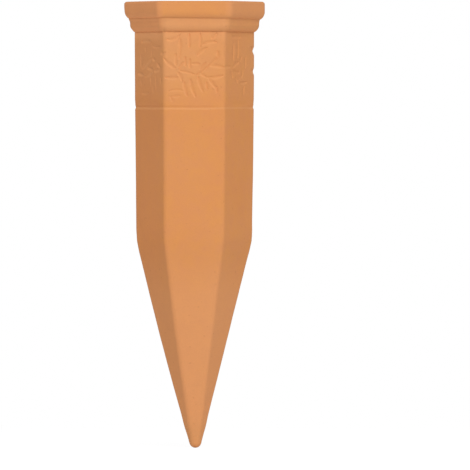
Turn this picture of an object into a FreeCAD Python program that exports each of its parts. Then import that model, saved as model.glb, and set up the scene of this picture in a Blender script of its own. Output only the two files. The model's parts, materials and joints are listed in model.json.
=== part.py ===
"""Six sided watering spike of fired terracotta, tip down, in four sections luted one on another.

The tip is at the origin and +Z points up through the mouth. Two opposite corners lie on the X axis, so one
flat face looks along -Y. All lengths are in millimetres. A reach is measured from the axis to a corner.
"""
import FreeCAD, Part
import math
import os

# Overall
height = 172.0
rim_corner_round = 4.0
corner_round = 2.0

# Bore for the bottle's neck, and the clay between it and the flat sides where the shaft is widest
bore_radius = 16.0
wall = 4.1

# Large roll of the mouth
top_rim_height = 6.65
top_edge_round = 1.0
mouth_chamfer = 1.0

# Small roll under it, whose side leans out towards its top
lower_rim_height = 5.15
lower_rim_lean = 0.42

# Both rolls tuck under along the same arc, and each section starts a small step inside the roll above it
roll_radius = 3.2
roll_sweep = math.radians(62.5)
line_step = 0.15

# Band with pressed leaves
band_height = 28.9
band_draft = math.radians(0.27)
leaf_width = 1.5
leaf_depth = 0.42
twig_width = 1.1
twig_depth = 0.34
corner_leaf_half_length = 2.8
corner_leaf_width = 2.8
corner_leaf_depth = 0.58

# V groove between the band and the shaft
groove_width = 1.8
groove_depth = 0.3

# Shaft, bend and taper
shaft_draft = math.radians(0.7)
bend_height = 79.7
bend_radius = 36.0
tip_radius = 2.33
tip_flat = 0.8
tip_roundness_share = 0.9

# Water hollow in the taper
taper_wall = 3.8
hollow_end_radius = 1.2

# Lap joints between the sections
lap_height = 2.5
lap_wall = 1.8
slip_film = 0.15

# Length that a cutting tool runs past the surface it cuts
overrun = 1.0

# Steps along each round of an outline
roll_steps = 6
edge_steps = 4
bend_steps = 6
dome_steps = 5

# Heights of the lines where the sections meet
rolls_line = height - top_rim_height
band_top = rolls_line - lower_rim_height
groove_line = band_top - band_height

sides = 6
half_side = math.pi / sides

# Corner reach of each section, from the bore outwards: the wall gives the shaft, the band's foot is flush
# with it, and each roll stands out over what is below it by its tuck and the small step
shaft_reach = (bore_radius + wall - corner_round) / math.cos(half_side) + corner_round
band_top_reach = shaft_reach + band_height * math.tan(band_draft)
roll_tuck = roll_radius * (1 - math.cos(roll_sweep))
lower_rim_reach = band_top_reach + line_step + roll_tuck
lower_rim_top_reach = lower_rim_reach + lower_rim_lean
top_rim_reach = lower_rim_top_reach + line_step + roll_tuck

# Leaves and twigs of three neighbouring faces, from stem end to point.
# Each row: across the face from its middle, up the band from its foot, the same for the other end.
# The across values are shares of the face's width and the up values are shares of the band's height.
front_leaf_shares = [
    (-0.31, 0.51, -0.52, 0.65),
    (-0.30, 0.55, -0.30, 0.71),
    (-0.26, 0.63, -0.25, 0.80),
    (-0.23, 0.76, -0.23, 0.91),
    (-0.27, 0.46, -0.20, 0.34),
    (-0.27, 0.39, -0.50, 0.39),
    (-0.18, 0.21, -0.44, 0.20),
    (-0.23, 0.15, -0.41, 0.14),
    (-0.17, 0.34, -0.11, 0.14),
    (-0.05, 0.37, 0.05, 0.12),
    (0.08, 0.40, 0.17, 0.19),
    (0.24, 0.37, 0.36, 0.24),
    (0.21, 0.39, 0.50, 0.42),
    (0.25, 0.55, 0.51, 0.52),
    (0.25, 0.55, 0.39, 0.67),
    (0.04, 0.68, 0.22, 0.79),
    (0.13, 0.82, 0.38, 0.86),
    (0.28, 0.90, 0.39, 0.98),
    (-0.46, 0.90, -0.24, 0.96),
    (-0.05, 0.57, 0.10, 0.57),
    (0.40, 0.66, 0.39, 0.75),
]
front_twig_shares = [
    (-0.25, 0.48, 0.01, 0.43),
    (0.03, 0.42, 0.25, 0.56),
    (0.10, 0.45, 0.22, 0.39),
    (0.10, 0.49, 0.20, 0.59),
    (-0.26, 0.49, -0.17, 0.60),
    (-0.09, 0.79, -0.09, 0.98),
    (0.09, 0.79, 0.09, 0.98),
    (-0.14, 0.54, -0.15, 0.67),
    (-0.07, 0.51, -0.07, 0.64),
    (0.20, 0.33, 0.21, 0.23),
    (-0.40, 0.14, -0.37, 0.07),
    (0.36, 0.28, 0.38, 0.18),
]
right_leaf_shares = [
    (-0.50, 0.52, -0.30, 0.53),
    (-0.22, 0.62, -0.20, 0.86),
    (-0.07, 0.65, -0.07, 0.90),
    (-0.27, 0.93, 0.03, 0.93),
    (-0.22, 0.53, -0.02, 0.60),
    (-0.22, 0.48, 0.00, 0.46),
    (-0.14, 0.45, 0.03, 0.37),
    (-0.30, 0.48, -0.23, 0.38),
    (0.14, 0.16, 0.15, 0.28),
    (0.18, 0.52, 0.20, 0.68),
    (-0.14, 0.39, -0.08, 0.31),
]
right_twig_shares = [
    (0.02, 0.60, 0.06, 0.68),
    (0.06, 0.38, 0.10, 0.50),
    (0.00, 0.32, 0.25, 0.34),
]
left_leaf_shares = [
    (0.10, 0.65, -0.24, 0.51),
    (0.11, 0.65, 0.21, 0.60),
    (0.14, 0.48, -0.13, 0.40),
    (-0.05, 0.52, 0.13, 0.49),
    (0.15, 0.48, 0.40, 0.50),
    (0.27, 0.57, 0.40, 0.49),
    (-0.25, 0.87, 0.07, 0.87),
    (0.40, 0.70, 0.53, 0.72),
    (-0.36, 0.44, -0.18, 0.42),
]
left_twig_shares = [
    (0.10, 0.66, 0.10, 0.75),
    (-0.26, 0.53, -0.26, 0.71),
    (0.12, 0.81, 0.38, 0.80),
    (-0.25, 0.19, 0.00, 0.19),
    (0.06, 0.40, 0.06, 0.29),
    (0.24, 0.42, 0.24, 0.25),
    (0.38, 0.40, 0.39, 0.31),
    (0.14, 0.27, 0.14, 0.18),
    (-0.12, 0.80, -0.11, 0.73),
    (-0.27, 0.36, -0.26, 0.28),
]
# Broad leaves that reach straight over the corner on +X. Each row holds for both ends how far along Y, as a
# share of half the leaf's length, and how far up, as a share of the band's height.
corner_leaf_shares = [
    (-1, 0.79, 1, 0.72),
    (-1, 0.50, 1, 0.46),
]
# Shares of a leaf's length between which its floor is at full depth
leaf_floor_shares = (0.35, 0.65)


def face_distance(reach, rounding):
    """Distance from the axis to a flat side, for corners that reach this far and have this rounding."""
    return (reach - rounding) * math.cos(half_side) + rounding


def ring(level):
    """Closed outline of a section: six straight sides joined by six corner arcs.

    Each arc's centre lies on its corner's own line, one rounding inside the corner's reach, and the arc turns
    30 degrees to each side of that line.
    """
    z, reach, rounding = level
    up = FreeCAD.Vector(0, 0, z)

    def arc_point(corner, turn):
        centre = FreeCAD.Vector(math.cos(corner), math.sin(corner), 0) * (reach - rounding)
        return centre + FreeCAD.Vector(math.cos(corner + turn), math.sin(corner + turn), 0) * rounding + up

    edges = []
    for number in range(sides):
        corner = 2 * half_side * number
        arc = Part.Arc(arc_point(corner, -half_side), arc_point(corner, 0), arc_point(corner, half_side))
        edges.append(arc.toShape())
        following = corner + 2 * half_side
        edges.append(Part.makeLine(arc_point(corner, half_side), arc_point(following, -half_side)))
    return Part.Wire(edges)


def stack(levels):
    """Solid with straight walls between outlines. Each level gives its height, corner reach and rounding."""
    return Part.makeLoft([ring(level) for level in levels], True, True)


def turned(outline):
    """Solid of revolution about Z. The outline's points (radius, height) start and end on the axis."""
    points = [FreeCAD.Vector(radius, 0, z) for radius, z in outline]
    face = Part.Face(Part.makePolygon(points + points[:1]))
    return face.revolve(FreeCAD.Vector(0, 0, 0), FreeCAD.Vector(0, 0, 1), 360)


def plug(radius, bottom, top):
    """Round tool for a bore, from one height to another."""
    return Part.makeCylinder(radius, top - bottom, FreeCAD.Vector(0, 0, bottom))


def lap_ring(line):
    """Low ring that hangs from a section into the one below it, round the same bore."""
    return plug(bore_radius + lap_wall, line - lap_height, line)


def lap_seat(line):
    """Tool for the seat that takes the lap ring of the section above, with room for a film of slip."""
    return plug(bore_radius + lap_wall + slip_film, line - lap_height, line + overrun)


def roll_levels(reach, bottom, rounding):
    """Underside of a roll, from its widest place down and in to its bottom line, along the shared arc."""
    start = bottom + roll_radius * math.sin(roll_sweep)
    levels = []
    for step in range(roll_steps + 1):
        angle = roll_sweep * step / roll_steps
        inward = roll_radius * (1 - math.cos(angle))
        levels.append((start - roll_radius * math.sin(angle), reach - inward, rounding))
    return levels


def band_reach(z):
    """Corner reach of the leaf band, which narrows a little towards its foot."""
    return band_top_reach - (band_top - z) * math.tan(band_draft)


def build_top_rim():
    """Large roll of the mouth, with a rounded top edge, a chamfered mouth and a lap ring below."""
    levels = []
    for step in range(edge_steps + 1):
        angle = math.pi / 2 * (1 - step / edge_steps)
        inward = top_edge_round * (1 - math.cos(angle))
        z = height - top_edge_round * (1 - math.sin(angle))
        levels.append((z, top_rim_reach - inward, rim_corner_round))
    levels += roll_levels(top_rim_reach, rolls_line, rim_corner_round)
    body = stack(levels).fuse(lap_ring(rolls_line))
    mouth = turned([
        (0, height - mouth_chamfer),
        (bore_radius, height - mouth_chamfer),
        (bore_radius + mouth_chamfer + overrun, height + overrun),
        (0, height + overrun),
    ])
    bore = plug(bore_radius, rolls_line - lap_height - overrun, height + overrun)
    return body.cut([bore, mouth])


def build_lower_rim():
    """Small roll, seated under the large one."""
    levels = [(rolls_line, lower_rim_top_reach, rim_corner_round)]
    levels += roll_levels(lower_rim_reach, band_top, rim_corner_round)
    body = stack(levels).fuse(lap_ring(band_top))
    bore = plug(bore_radius, band_top - lap_height - overrun, rolls_line + overrun)
    return body.cut([bore, lap_seat(rolls_line)])


def gouge(start, end, outward, width, depth):
    """Tool for one pressed leaf: a straight cut with a V section that runs out to a point at both ends.

    Start and end are its points on the face. The tool's keel lies at full depth along the middle of the leaf,
    and its top outline lies above the face, widened in proportion to its height over the keel.
    """
    along = end - start
    across = outward.cross(along).normalize() * (width / 2)
    grow = (depth + overrun) / depth
    lift = outward * overrun
    sink = outward * -depth
    near, far = (start + along * share for share in leaf_floor_shares)
    keel = [near + sink, far + sink]
    near_tip = near + (start - near) * grow + lift
    far_tip = far + (end - far) * grow + lift
    right = [near - across * grow + lift, far - across * grow + lift]
    left = [near + across * grow + lift, far + across * grow + lift]
    outlines = [
        [near_tip, right[0], right[1], far_tip, left[1], left[0]],
        [keel[0], keel[1], right[1], right[0]],
        [keel[1], keel[0], left[0], left[1]],
        [keel[0], right[0], near_tip],
        [keel[0], near_tip, left[0]],
        [keel[1], far_tip, right[1]],
        [keel[1], left[1], far_tip],
    ]
    shell = Part.makeShell([Part.Face(Part.makePolygon(points + points[:1])) for points in outlines])
    solid = Part.makeSolid(shell)
    if solid.Volume < 0:
        solid.reverse()
    return solid


def face_gouges(face_angle, shares, width, depth):
    """Tools for the rows of one face. The angle is that of the face's outward direction from +X."""
    outward = FreeCAD.Vector(math.cos(face_angle), math.sin(face_angle), 0)
    sideways = FreeCAD.Vector(-math.sin(face_angle), math.cos(face_angle), 0)
    tools = []
    for across_from, up_from, across_to, up_to in shares:
        ends = []
        for across_share, up_share in ((across_from, up_from), (across_to, up_to)):
            z = groove_line + band_height * up_share
            reach = band_reach(z)
            on_face = outward * face_distance(reach, corner_round) + sideways * (reach * across_share)
            ends.append(on_face + FreeCAD.Vector(0, 0, z))
        tools.append(gouge(ends[0], ends[1], outward, width, depth))
    return tools


def corner_gouges():
    """Tools for the leaves over the corner on +X, laid square to the corner's own line."""
    outward = FreeCAD.Vector(1, 0, 0)
    tools = []
    for along_from, up_from, along_to, up_to in corner_leaf_shares:
        ends = []
        for along_share, up_share in ((along_from, up_from), (along_to, up_to)):
            z = groove_line + band_height * up_share
            ends.append(FreeCAD.Vector(band_reach(z), corner_leaf_half_length * along_share, z))
        tools.append(gouge(ends[0], ends[1], outward, corner_leaf_width, corner_leaf_depth))
    return tools


def leaf_tools():
    """Tools for all six faces: three different ones, repeated half a turn round."""
    faces = [
        (-3 * half_side, front_leaf_shares, front_twig_shares),
        (-half_side, right_leaf_shares, right_twig_shares),
        (-5 * half_side, left_leaf_shares, left_twig_shares),
    ]
    tools = corner_gouges()
    for turn in (0, math.pi):
        for angle, leaf_shares, twig_shares in faces:
            tools += face_gouges(angle + turn, leaf_shares, leaf_width, leaf_depth)
            tools += face_gouges(angle + turn, twig_shares, twig_width, twig_depth)
    return tools


def build_leaf_band():
    """Six sided band with its leaves, the upper slope of the V groove and a lap ring below."""
    slope_top = groove_line + groove_width / 2
    levels = [
        (band_top, band_reach(band_top), corner_round),
        (slope_top, band_reach(slope_top), corner_round),
        (groove_line, shaft_reach - groove_depth, corner_round),
    ]
    body = stack(levels).fuse(lap_ring(groove_line))
    bore = plug(bore_radius, groove_line - lap_height - overrun, band_top + overrun)
    body = body.cut([bore, lap_seat(band_top)])
    # One cut at a time: where many leaves cross, a single cut with all of them can leave loose crumbs
    for tool in leaf_tools():
        body = body.cut(tool)
    return body


def spike_outline():
    """Levels of the shaft, bend, taper and round tip, from the top down, with the taper's two end levels.

    The taper is the straight line from the bend's corner that just touches the round of the tip. The bend's
    arc touches the shaft line and the taper line.
    """
    slope_foot = groove_line - groove_width / 2
    bend_reach = shaft_reach - (slope_foot - bend_height) * math.tan(shaft_draft)
    last_angle = math.acos(tip_flat / 2 / tip_radius)
    tip_centre = tip_radius * math.sin(last_angle)
    rise = bend_height - tip_centre
    taper_angle = math.atan2(bend_reach, rise) - math.asin(tip_radius / math.hypot(bend_reach, rise))

    tangent = bend_radius * math.tan((taper_angle - shaft_draft) / 2)
    bend_start = bend_height + tangent * math.cos(shaft_draft)
    start_reach = bend_reach + tangent * math.sin(shaft_draft)
    centre_reach = start_reach - bend_radius * math.cos(shaft_draft)
    centre_z = bend_start + bend_radius * math.sin(shaft_draft)

    levels = [
        (groove_line, shaft_reach - groove_depth, corner_round),
        (slope_foot, shaft_reach, corner_round),
    ]
    for step in range(bend_steps + 1):
        angle = shaft_draft + (taper_angle - shaft_draft) * step / bend_steps
        z = centre_z - bend_radius * math.sin(angle)
        levels.append((z, centre_reach + bend_radius * math.cos(angle), corner_round))
    taper_top = levels[-1]
    dome = []
    for step in range(dome_steps + 1):
        angle = taper_angle + (last_angle - taper_angle) * step / dome_steps
        reach = tip_radius * math.cos(angle)
        dome.append((tip_centre - tip_radius * math.sin(angle), reach, reach * tip_roundness_share))
    return levels + dome, taper_top, dome[0]


def hollow_tool(taper_top, taper_foot):
    """Tool for the water hollow: the bore, then a cone that keeps the taper's wall, closed by a ball."""
    top_z, foot_z = taper_top[0], taper_foot[0]
    top_radius = face_distance(*taper_top[1:]) - taper_wall
    foot_radius = face_distance(*taper_foot[1:]) - taper_wall
    spread = (top_radius - foot_radius) / (top_z - foot_z)
    cone_top = top_z + (bore_radius - top_radius) / spread
    cone_foot = top_z - (top_radius - hollow_end_radius) / spread
    print("straight bore ends at", round(cone_top, 3), "and the cone ends at", round(cone_foot, 3))
    funnel = turned([
        (0, cone_foot),
        (hollow_end_radius, cone_foot),
        (bore_radius, cone_top),
        (bore_radius, groove_line + overrun),
        (0, groove_line + overrun),
    ])
    return funnel.fuse(Part.makeSphere(hollow_end_radius, FreeCAD.Vector(0, 0, cone_foot)))


def build_spike_body():
    """Shaft, taper and tip with the water hollow and the seat for the band's lap ring."""
    levels, taper_top, taper_foot = spike_outline()
    return stack(levels).cut([hollow_tool(taper_top, taper_foot), lap_seat(groove_line)])


def main():
    os.makedirs("parts", exist_ok=True)
    print("across the rim's corners", round(2 * top_rim_reach, 3))
    builders = {
        "top_rim": build_top_rim,
        "lower_rim": build_lower_rim,
        "leaf_band": build_leaf_band,
        "spike_body": build_spike_body,
    }
    for node, build in builders.items():
        shape = build()
        if len(shape.Solids) == 1:
            shape = shape.Solids[0]
        box = shape.BoundBox
        print(node, "valid", shape.isValid(), "solids", len(shape.Solids), "volume", round(shape.Volume, 1),
              "x", round(box.XMin, 2), round(box.XMax, 2), "y", round(box.YMin, 2), round(box.YMax, 2),
              "z", round(box.ZMin, 3), round(box.ZMax, 3))
        shape.exportStep(f"parts/{node}.step")


main()
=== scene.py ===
# %% [markdown]
# This is a watering spike of unglazed terracotta. A bottle of water is turned upside down into its mouth,
# the tip is pushed into the soil of a plant pot, and the water seeps out through the fired clay. The
# packed CAD model holds its sizes and its four sections, from the round tip at the origin up to the rim.
# This script gives each section the soft edges, the pressed leaves and the fired clay of the real one. It
# is read from top to bottom, and every code cell prints what it made or measured.

# %% Load the packed model
import json
import math

import bpy
import numpy as np
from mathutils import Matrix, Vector


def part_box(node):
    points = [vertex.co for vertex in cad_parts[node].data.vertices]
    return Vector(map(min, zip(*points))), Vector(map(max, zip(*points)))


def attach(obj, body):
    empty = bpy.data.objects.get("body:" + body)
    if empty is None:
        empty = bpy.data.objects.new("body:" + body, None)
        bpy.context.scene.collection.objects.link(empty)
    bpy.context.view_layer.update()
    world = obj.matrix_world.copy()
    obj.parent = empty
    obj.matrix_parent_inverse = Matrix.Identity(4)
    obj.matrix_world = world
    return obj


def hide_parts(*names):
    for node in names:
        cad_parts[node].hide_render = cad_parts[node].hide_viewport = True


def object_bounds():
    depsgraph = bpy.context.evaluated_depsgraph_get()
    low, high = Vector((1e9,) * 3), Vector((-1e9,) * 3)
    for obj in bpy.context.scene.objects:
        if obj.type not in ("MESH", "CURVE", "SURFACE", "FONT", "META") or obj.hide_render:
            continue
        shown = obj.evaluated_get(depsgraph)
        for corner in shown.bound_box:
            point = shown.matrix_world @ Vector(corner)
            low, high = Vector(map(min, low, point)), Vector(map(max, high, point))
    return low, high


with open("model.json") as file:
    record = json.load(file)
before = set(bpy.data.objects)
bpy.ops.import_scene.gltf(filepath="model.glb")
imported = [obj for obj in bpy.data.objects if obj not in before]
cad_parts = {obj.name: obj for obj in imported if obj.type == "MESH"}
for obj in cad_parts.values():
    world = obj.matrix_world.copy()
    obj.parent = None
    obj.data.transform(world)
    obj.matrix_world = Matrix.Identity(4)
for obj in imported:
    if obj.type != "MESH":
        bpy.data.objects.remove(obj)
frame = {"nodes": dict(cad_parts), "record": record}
cad_low, cad_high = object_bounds()
print("sections in the frame:", sorted(frame["nodes"]))

# %% [markdown]
# The frame is in metres, but a potter thinks in millimetres, so the shapes below are worked out in
# millimetres and turned into metres when a mesh is made. Everything that the CAD model fixes is read from
# it: the heights of the lines where two sections meet, and how far each section reaches to a corner of
# its six sided outline. Only the roundings, which a box can't tell, are given here again.

# %% Sizes
millimetre = 0.001


def box_of(node):
    """Lowest and highest corner of a CAD section, in millimetres."""
    low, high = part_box(node)
    return low / millimetre, high / millimetre


height = cad_high.z / millimetre
rolls_line = box_of("lower_rim")[1].z
band_top = box_of("leaf_band")[1].z
groove_line = box_of("spike_body")[1].z
lap_height = rolls_line - box_of("top_rim")[0].z
top_rim_reach = box_of("top_rim")[1].x
lower_rim_top_reach = box_of("lower_rim")[1].x
band_top_reach = box_of("leaf_band")[1].x
shaft_reach = box_of("spike_body")[1].x
mounts = {mount["name"]: mount for mount in frame["record"]["mounts"]}
bore_radius = mounts["bottle_mouth"]["dims"]["r_mm"]
rim_corner_round = 4.0
corner_round = 2.0
sides = 6
side_angle = 360 / sides
print("height", round(height, 2), "and across the rim's corners", round(2 * top_rim_reach, 2))

# %% [markdown]
# The photograph is taken from far away with a long lens, level with the middle of the spike: the flat top
# of the rim isn't seen, and its front edge stands less than a pixel above its corners. A camera at 6
# metres gives that. The scale and the place of the tip in the picture then say where the camera stands,
# and its lens follows from the width that the picture shows at the spike.

# %% Camera
picture_pixels = 470
pixels_per_metre = 2593.0
axis_pixel = 194.4
tip_pixel = 447.7
camera_distance = 6.0


def placed(name, data):
    """New object in the scene, made from a mesh, a lamp or a camera."""
    made = bpy.data.objects.new(name, data)
    bpy.context.scene.collection.objects.link(made)
    return made


camera_data = bpy.data.cameras.new("camera")
camera = placed("camera", camera_data)
camera_data.sensor_width = 36.0
camera_data.lens = camera_data.sensor_width * camera_distance * pixels_per_metre / picture_pixels
camera_data.clip_end = 3 * camera_distance
camera.location = (
    (picture_pixels / 2 - axis_pixel) / pixels_per_metre,
    -camera_distance,
    (tip_pixel - picture_pixels / 2) / pixels_per_metre,
)
camera.rotation_euler = (math.radians(90), 0, 0)
bpy.context.scene.camera = camera
print("lens", round(camera_data.lens), "mm at height", round(camera.location.z, 4), "m")

# %% [markdown]
# Each section is a skin of clay over a six sided form with rounded corners. It could be a cylinder with
# six sides and a Bevel modifier, but then the corners could only have one width all the way down. Here
# the outline is a formula: a small sharp hexagon, and a disc that rolls round it. The disc's edge draws
# the rounded outline. So a point of the outline is a point of the hexagon plus the disc's radius along
# the outward direction, and both may change with the height. The columns of the mesh are the places round
# the outline, the same on every level.

# %% Columns round the outline
def unit(degrees):
    """Unit vectors in the plane: the cosine and the sine of each angle."""
    angle = np.radians(degrees)
    return np.stack([np.cos(angle), np.sin(angle)], -1)


def columns(corner_steps, flat_steps):
    """Places round a rounded hexagon, counter-clockwise from above, starting where a corner's arc begins.

    At a corner the disc stands still while its outward direction turns by 60 degrees. Along a flat side it
    travels from one corner to the next and the direction stays. "walk" is the disc's centre on a hexagon of
    reach 1, "outward" is the direction, "polar" is the direction from the axis, used for round levels,
    "place" is how far round the column is, measured along the outline in widths of a side, and "arc" is
    true on a corner's arc.
    """
    turn = np.concatenate([
        np.linspace(-side_angle / 2, side_angle / 2, corner_steps + 1),
        np.full(flat_steps - 1, side_angle / 2),
    ])
    along = np.concatenate([np.zeros(corner_steps + 1), np.arange(1, flat_steps) / flat_steps])
    number = np.arange(sides)[:, None]
    here, following = unit(side_angle * number), unit(side_angle * (number + 1))
    walk = here + along[None, :, None] * (following - here)
    outward = unit(side_angle * number + turn)
    disc_share = corner_round / (shaft_reach - corner_round)
    spoke = walk + outward * disc_share
    arc = np.radians(turn) * disc_share
    whole_side = 1 + disc_share * math.radians(side_angle)
    return {
        "walk": walk.reshape(-1, 2),
        "outward": outward.reshape(-1, 2),
        "polar": (spoke / np.linalg.norm(spoke, axis=-1, keepdims=True)).reshape(-1, 2),
        "place": (number + (arc + along) / whole_side).ravel(),
        "arc": np.tile(along == 0, sides),
    }


rim_columns = columns(corner_steps=16, flat_steps=36)
band_columns = columns(corner_steps=14, flat_steps=90)
body_columns = columns(corner_steps=14, flat_steps=40)
print("columns:", *(len(c["place"]) for c in (rim_columns, band_columns, body_columns)))

# %% [markdown]
# A section's profile is the line that its wall follows from the outside over its top and down the bore.
# Wet clay keeps no sharp edge, so each corner of the profile is an arc that touches both of its runs. The
# arcs and the long straight runs are cut into short steps, because the skin is later moved in and out by
# a little.

# %% Soft profiles
arc_step = math.radians(9)


def softened(corners, pitch):
    """Points along the line through some corners, each (distance from the axis, height, radius of its arc).

    The arc touches both runs at its radius times the tangent of half the turn. Its centre is one radius to
    the side of the first touching point, and its points are that spoke turned step by step. Straight runs
    longer than the pitch are divided evenly.
    """
    corners = np.array(corners, float)
    points = [corners[0, :2]]
    for (*before, _), (*corner, radius), (*after, _) in zip(corners, corners[1:], corners[2:]):
        before, corner, after = np.array(before), np.array(corner), np.array(after)
        arriving = (corner - before) / np.linalg.norm(corner - before)
        leaving = (after - corner) / np.linalg.norm(after - corner)
        turn = math.atan2(arriving[0] * leaving[1] - arriving[1] * leaving[0], arriving @ leaving)
        steps = max(1, math.ceil(abs(turn) / arc_step)) if radius else 0
        start = corner - arriving * radius * math.tan(abs(turn) / 2)
        spoke = math.copysign(radius, turn) * np.array([arriving[1], -arriving[0]])
        for angle in np.linspace(0, turn, steps + 1):
            turned = np.array([
                spoke[0] * math.cos(angle) - spoke[1] * math.sin(angle),
                spoke[0] * math.sin(angle) + spoke[1] * math.cos(angle),
            ])
            points.append(start - spoke + turned)
    points.append(corners[-1, :2])
    runs = []
    for start, end in zip(points, points[1:]):
        parts = max(1, math.ceil(np.linalg.norm(end - start) / pitch))
        runs.append(np.linspace(start, end, parts, endpoint=False))
    return np.concatenate(runs + [points[-1][None]])


def six_sided(points, rounding):
    """Levels of a six sided wall: height, reach of the small hexagon, radii of the disc and of a circle."""
    reach, z = points.T
    rounding = np.minimum(rounding, reach)
    return np.stack([z, reach - rounding, rounding + 0 * z, 0 * z], -1)


def round_wall(points):
    """Levels of a round wall, in the same four columns."""
    radius, z = points.T
    return np.stack([z, 0 * z, 0 * z, radius], -1)


def skin(levels, places):
    """Grid of points: each level's hexagon, disc and circle, spread over the columns and added up."""
    z, walk, disc, circle = levels.T[:, :, None, None]
    flat = walk * places["walk"] + disc * places["outward"] + circle * places["polar"]
    return np.concatenate([flat, np.broadcast_to(z, flat.shape[:2] + (1,))], -1)


square_edge = softened([(0, 0, 0), (5, 0, 1), (5, 5, 0)], pitch=10)
print("a square edge that is rounded has", len(square_edge), "points")

# %% [markdown]
# No pot is quite true, and the larger faults of this one can be seen in the photograph. The tip leans to
# the right, the lower half bows to the left, and the mouth stands a little to the right. The line between
# the rolls falls to the right, and the V groove sags in the middle of the front. A Lattice modifier could
# bend the pieces, but here each fault is a formula with a size in millimetres. The formulas only depend
# on where a point is, so two sections that meet on a line move by the same amount there.

# %% Faults of the whole body
tip_lean, lean_height = 0.4, 45.0
bow, bow_foot, bow_height = 0.19, 5.0, 100.0
mouth_shift = 0.08
line_tilt, tilt_spread = 0.25, 2.4
groove_sag, sag_spread = 0.3, 3.0


def leaned(points):
    """Points moved by the faults of the whole body.

    The tip leans along X by the square of how far below the lean's start it is. The lower half bows the
    other way like half a sine wave. The mouth's shift grows evenly from the top of the band to the line
    between the rolls. That line falls with x, and the groove sags by 1 - (x / reach)^2, both fading with
    exp(-(d / spread)^2) at the distance d above or below.
    """
    moved = points.copy()
    x, z = points[..., 0], points[..., 2]
    moved[..., 0] += tip_lean * np.clip(1 - z / lean_height, 0, 1) ** 2
    moved[..., 0] -= bow * np.sin(math.pi * np.clip((z - bow_foot) / bow_height, 0, 1))
    moved[..., 0] += mouth_shift * np.clip((z - band_top) / (rolls_line - band_top), 0, 1)
    moved[..., 2] -= line_tilt * x / top_rim_reach * np.exp(-((z - rolls_line) / tilt_spread) ** 2)
    middle = np.clip(1 - (x / shaft_reach) ** 2, 0, 1)
    moved[..., 2] -= groove_sag * middle * np.exp(-((z - groove_line) / sag_spread) ** 2)
    return moved


axis_points = np.zeros((3, 3))
axis_points[:, 2] = 0, bow_foot + bow_height / 2, height
print("to the right at the tip, the bow and the mouth:", leaned(axis_points)[:, 0].round(2), "mm")

# %% [markdown]
# The wall itself stands out in some places and back in others. It wanders by about a tenth of a
# millimetre, which a sum of slow waves gives, running through space in chosen directions. The taper has a
# belly, clay fills most of the V groove at the right, and a few bumps and dents show in the outline. A
# Displace modifier could do some of this with a texture, but bumps that are listed can be placed
# where the photograph shows them.

# %% Unevenness of the wall
belly, belly_foot, belly_height = 0.22, 3.0, 67.0
groove_fill, fill_reach = 0.27, 0.9
fill_start, fill_rise = 6.0, 5.0
fill_end, fill_fall = shaft_reach - corner_round / 2, 2.0
sway, sway_length = 0.05, 38.0
ripple, ripple_length = 0.02, 9.0
# Each bump: its height, how far it stands out, its spread up and down, and its side, which is -1 for the
# left, 1 for the right and 0 for all round
bumps = [
    (8.0, 0.34, 3.2, 0),
    (80.5, 0.20, 4.5, 1),
    (132.6, -0.12, 1.2, -1),
    (132.6, -0.12, 1.2, 1),
    (161.0, -0.22, 0.7, -1),
    (165.0, 0.26, 0.65, -1),
    (167.6, -0.16, 1.6, -1),
    (162.8, 0.13, 1.6, 1),
]
bump_start, bump_rise = 8.0, 8.0
wave_count = 8


def waves(points, wavelength, seed):
    """Sum of plane waves, scaled to stay mostly between -1 and 1.

    Each wave is the sine of the distance along its own direction over the wavelength, plus its own phase.
    """
    draw = np.random.default_rng(seed)
    direction = draw.normal(size=(3, wave_count))
    direction /= np.linalg.norm(direction, axis=0)
    phase = draw.uniform(0, 2 * math.pi, wave_count)
    total = np.sin(points @ direction * (2 * math.pi / wavelength) + phase).sum(-1)
    return total / (wave_count / 2)


def unevenness(points):
    """How far the wall stands out at each point, in millimetres, or back where it is below 0.

    The belly is 4 s (1 - s), where s is the share of its height. A bump is exp(-(d / spread)^2) at the
    distance d above or below it, and one with a side grows with the distance from the middle. The fill of
    the groove is highest on its line, and grows and ends with the distance from the middle.
    """
    x, z = points[..., 0], points[..., 2]
    share = np.clip((z - belly_foot) / belly_height, 0, 1)
    swell = belly * 4 * share * (1 - share)
    for bump_height, amount, spread, side in bumps:
        near = np.clip((side * x - bump_start) / bump_rise, 0, 1) if side else 1
        swell = swell + amount * near * np.exp(-((z - bump_height) / spread) ** 2)
    right_share = np.clip((x - fill_start) / fill_rise, 0, 1) * np.clip((fill_end - x) / fill_fall, 0, 1)
    filled = groove_fill * right_share * np.clip(1 - abs(z - groove_line) / fill_reach, 0, 1)
    wander = sway * waves(points, sway_length, seed=3) + ripple * waves(points, ripple_length, seed=4)
    return swell + filled + wander


heights = np.linspace(0, height, 200)
right_corner = np.stack([0 * heights + shaft_reach, 0 * heights, heights], -1)
swell_there = unevenness(right_corner)
print("the right corner stands out by", round(swell_there.min(), 2), "to", round(swell_there.max(), 2), "mm")

# %% [markdown]
# Each mesh also gets marks, which are attributes that the clay's colour reads later. The mark named bend
# says how sharply the surface turns. It is above 0 on edges that hands rub, and below 0 in creases, which
# are made a little darker. The Pointiness of a Geometry node tells something like it, but it changes with
# how fine the mesh is, so the bend is worked out from the profile and from the corners.

# %% Bend of the surface
shortest_step = 0.05


def profile_bend(levels):
    """Turn per millimetre of a closed profile at each level: positive where the clay's edge is convex.

    It is twice the turn over the lengths of the two steps that meet there. A short length is added, so that
    the tiny steps of an arc don't make it too large.
    """
    line = np.stack([levels[:, 1:].sum(-1), levels[:, 0]], -1)
    arriving = line - np.roll(line, 1, axis=0)
    leaving = np.roll(line, -1, axis=0) - line
    cross = arriving[:, 0] * leaving[:, 1] - arriving[:, 1] * leaving[:, 0]
    turn = np.arctan2(cross, (arriving * leaving).sum(-1))
    steps = np.linalg.norm(arriving, axis=-1) + np.linalg.norm(leaving, axis=-1)
    return 2 * turn / (steps + shortest_step)


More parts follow.
